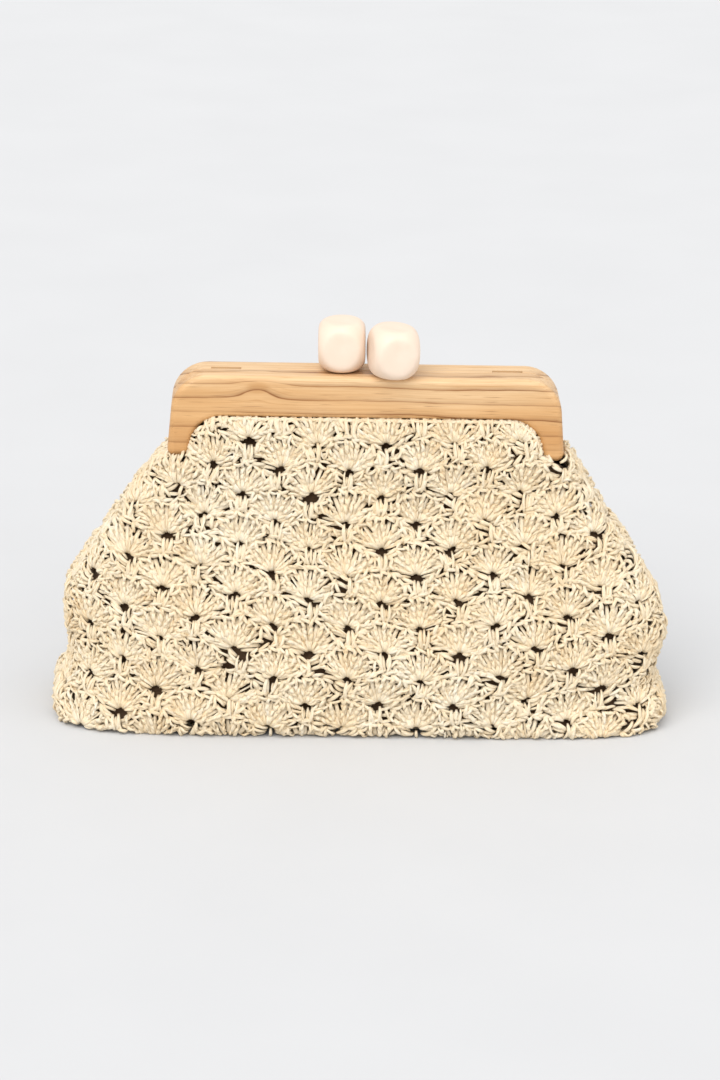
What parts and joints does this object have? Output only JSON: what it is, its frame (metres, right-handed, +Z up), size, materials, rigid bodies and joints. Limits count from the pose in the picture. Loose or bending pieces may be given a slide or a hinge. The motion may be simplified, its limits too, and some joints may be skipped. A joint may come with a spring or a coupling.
{
  "type": "clutch purse",
  "caption": "Crocheted straw clutch purse on a hinged wooden frame with a bead kiss lock and pull-up strap loops",
  "frame": {"origin": "middle of the base, on the surface the purse stands on", "axes": "+X along the purse's width, +Y from its front to its rear, +Z up"},
  "size_m": [0.314, 0.094, 0.2039],
  "materials": {
    "wood": "satin, pale ash grain",
    "bead": "polished",
    "brass": "polished",
    "steel": "satin",
    "raffia": "crocheted paper straw",
    "lining": "plain weave",
    "strip": "raw"
  },
  "bodies": {
    "pouch": {"crochet_front": "raffia", "crochet_rear": "raffia", "hinge_pin_left": "brass", "hinge_pin_right": "brass", "lining": "lining"},
    "front_half": {"front_bead": "bead", "front_bead_stud": "brass", "front_crochet_top": "raffia", "front_frame_wood": "wood", "front_hinge_leaf_left": "brass", "front_hinge_leaf_right": "brass", "front_lining_top": "lining", "front_lower_screw_left": "steel", "front_lower_screw_right": "steel", "front_retaining_strip": "strip", "front_upper_screw_left": "steel", "front_upper_screw_right": "steel"},
    "rear_half": {"rear_bead": "bead", "rear_bead_stud": "brass", "rear_crochet_top": "raffia", "rear_frame_wood": "wood", "rear_hinge_leaf_left": "brass", "rear_hinge_leaf_right": "brass", "rear_lining_top": "lining", "rear_lower_screw_left": "steel", "rear_lower_screw_right": "steel", "rear_retaining_strip": "strip", "rear_upper_screw_left": "steel", "rear_upper_screw_right": "steel", "strap_loop_pin_left": "steel", "strap_loop_pin_right": "steel"},
    "left_strap_loop": {"strap_loop_left": "brass"},
    "right_strap_loop": {"strap_loop_right": "brass"}
  },
  "joints": [
    {"name": "front_opening", "type": "hinge", "parent": "pouch", "child": "front_half", "pos_m": [0, 0, 0.135], "axis": [1, 0, 0], "range_deg": [0, 45]},
    {"name": "rear_opening", "type": "hinge", "parent": "pouch", "child": "rear_half", "pos_m": [0, 0, 0.135], "axis": [-1, 0, 0], "range_deg": [0, 45]},
    {"name": "left_loop_lift", "type": "slide", "parent": "rear_half", "child": "left_strap_loop", "axis": [0, 0, 1], "range_m": [0, 0.0082]},
    {"name": "right_loop_lift", "type": "slide", "parent": "rear_half", "child": "right_strap_loop", "axis": [0, 0, 1], "range_m": [0, 0.0082]}
  ],
  "couplings": [
    {"joint": "rear_opening", "follows": "front_opening", "ratio": 1}
  ]
}
